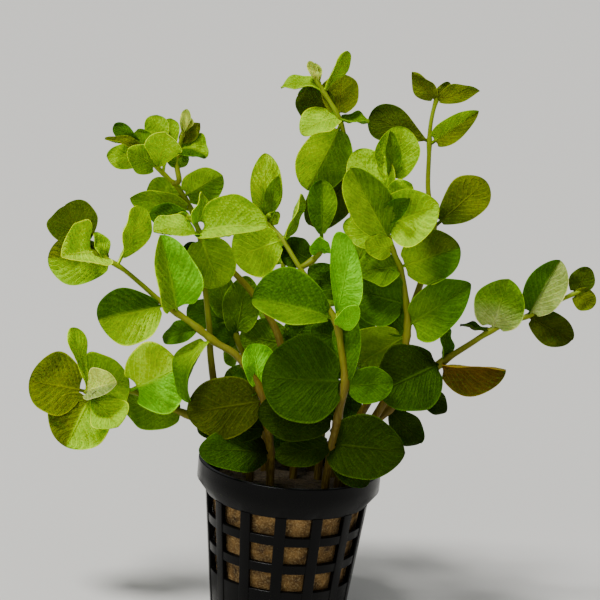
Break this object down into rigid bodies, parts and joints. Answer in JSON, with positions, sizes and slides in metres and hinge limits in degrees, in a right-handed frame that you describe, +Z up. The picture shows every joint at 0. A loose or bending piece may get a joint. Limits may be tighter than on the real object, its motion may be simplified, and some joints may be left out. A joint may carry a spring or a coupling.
{
  "type": "potted creeping plant",
  "caption": "Round-leaved creeping plant with arching leafy stems rooted in rock wool in a small round net pot",
  "frame": {"origin": "centre of the underside of the pot, on the surface that it stands on", "axes": "+Z up along the pot's axis; -Y towards the viewer of the picture; +X to that viewer's right"},
  "size_m": [0.1495, 0.0619, 0.1568],
  "materials": {
    "leaf": "satin",
    "stem": "satin",
    "pot": "gloss",
    "wool": "matte"
  },
  "bodies": {
    "root": {"leaf_lower_left_west": "leaf", "leaf_lower_left_south": "leaf", "leaf_lower_left_east": "leaf", "leaf_lower_left_under": "leaf", "stem_lower_left": "stem", "leaf_left_back": "leaf", "leaf_left_cup": "leaf", "leaf_left_folded": "leaf", "leaf_left_edge": "leaf", "leaf_left_hanging": "leaf", "leaf_left_tall": "leaf", "leaf_left_arched": "leaf", "leaf_left_olive": "leaf", "leaf_left_low_arch": "leaf", "leaf_left_rim": "leaf", "stem_left": "stem", "leaf_upper_left_front": "leaf", "leaf_upper_left_tip_left": "leaf", "leaf_upper_left_tip_right": "leaf", "stem_upper_left": "stem", "leaf_upper_left_side_arched": "leaf", "stem_upper_left_side": "stem", "leaf_middle_left_left": "leaf", "leaf_middle_left_right": "leaf", "stem_middle_left": "stem", "leaf_centre_oval": "leaf", "leaf_centre_left": "leaf", "leaf_centre_shelf": "leaf", "leaf_centre_bright": "leaf", "leaf_centre_great": "leaf", "leaf_centre_puckered": "leaf", "leaf_centre_dark": "leaf", "leaf_centre_over_rim": "leaf", "stem_centre": "stem", "leaf_centre_side_upright": "leaf", "stem_centre_side": "stem", "leaf_top_centre_behind_right": "leaf", "leaf_top_centre_behind_left": "leaf", "leaf_top_centre_great": "leaf", "stem_top_centre": "stem", "leaf_top_right_left": "leaf", "leaf_top_right_pointed": "leaf", "leaf_top_right_oval": "leaf", "stem_top_right": "stem", "leaf_centre_right_front": "leaf", "leaf_centre_right_curled": "leaf", "leaf_centre_right_dark": "leaf", "leaf_centre_right_low": "leaf", "leaf_centre_right_mass": "leaf", "stem_centre_right": "stem", "leaf_right_round": "leaf", "leaf_right_far": "leaf", "leaf_right_boat": "leaf", "leaf_right_broad": "leaf", "stem_right": "stem", "stem_back_left": "stem", "stem_back_right": "stem", "stem_back_centre": "stem", "net_pot": "pot", "rock_wool": "wool"}
  },
  "joints": []
}
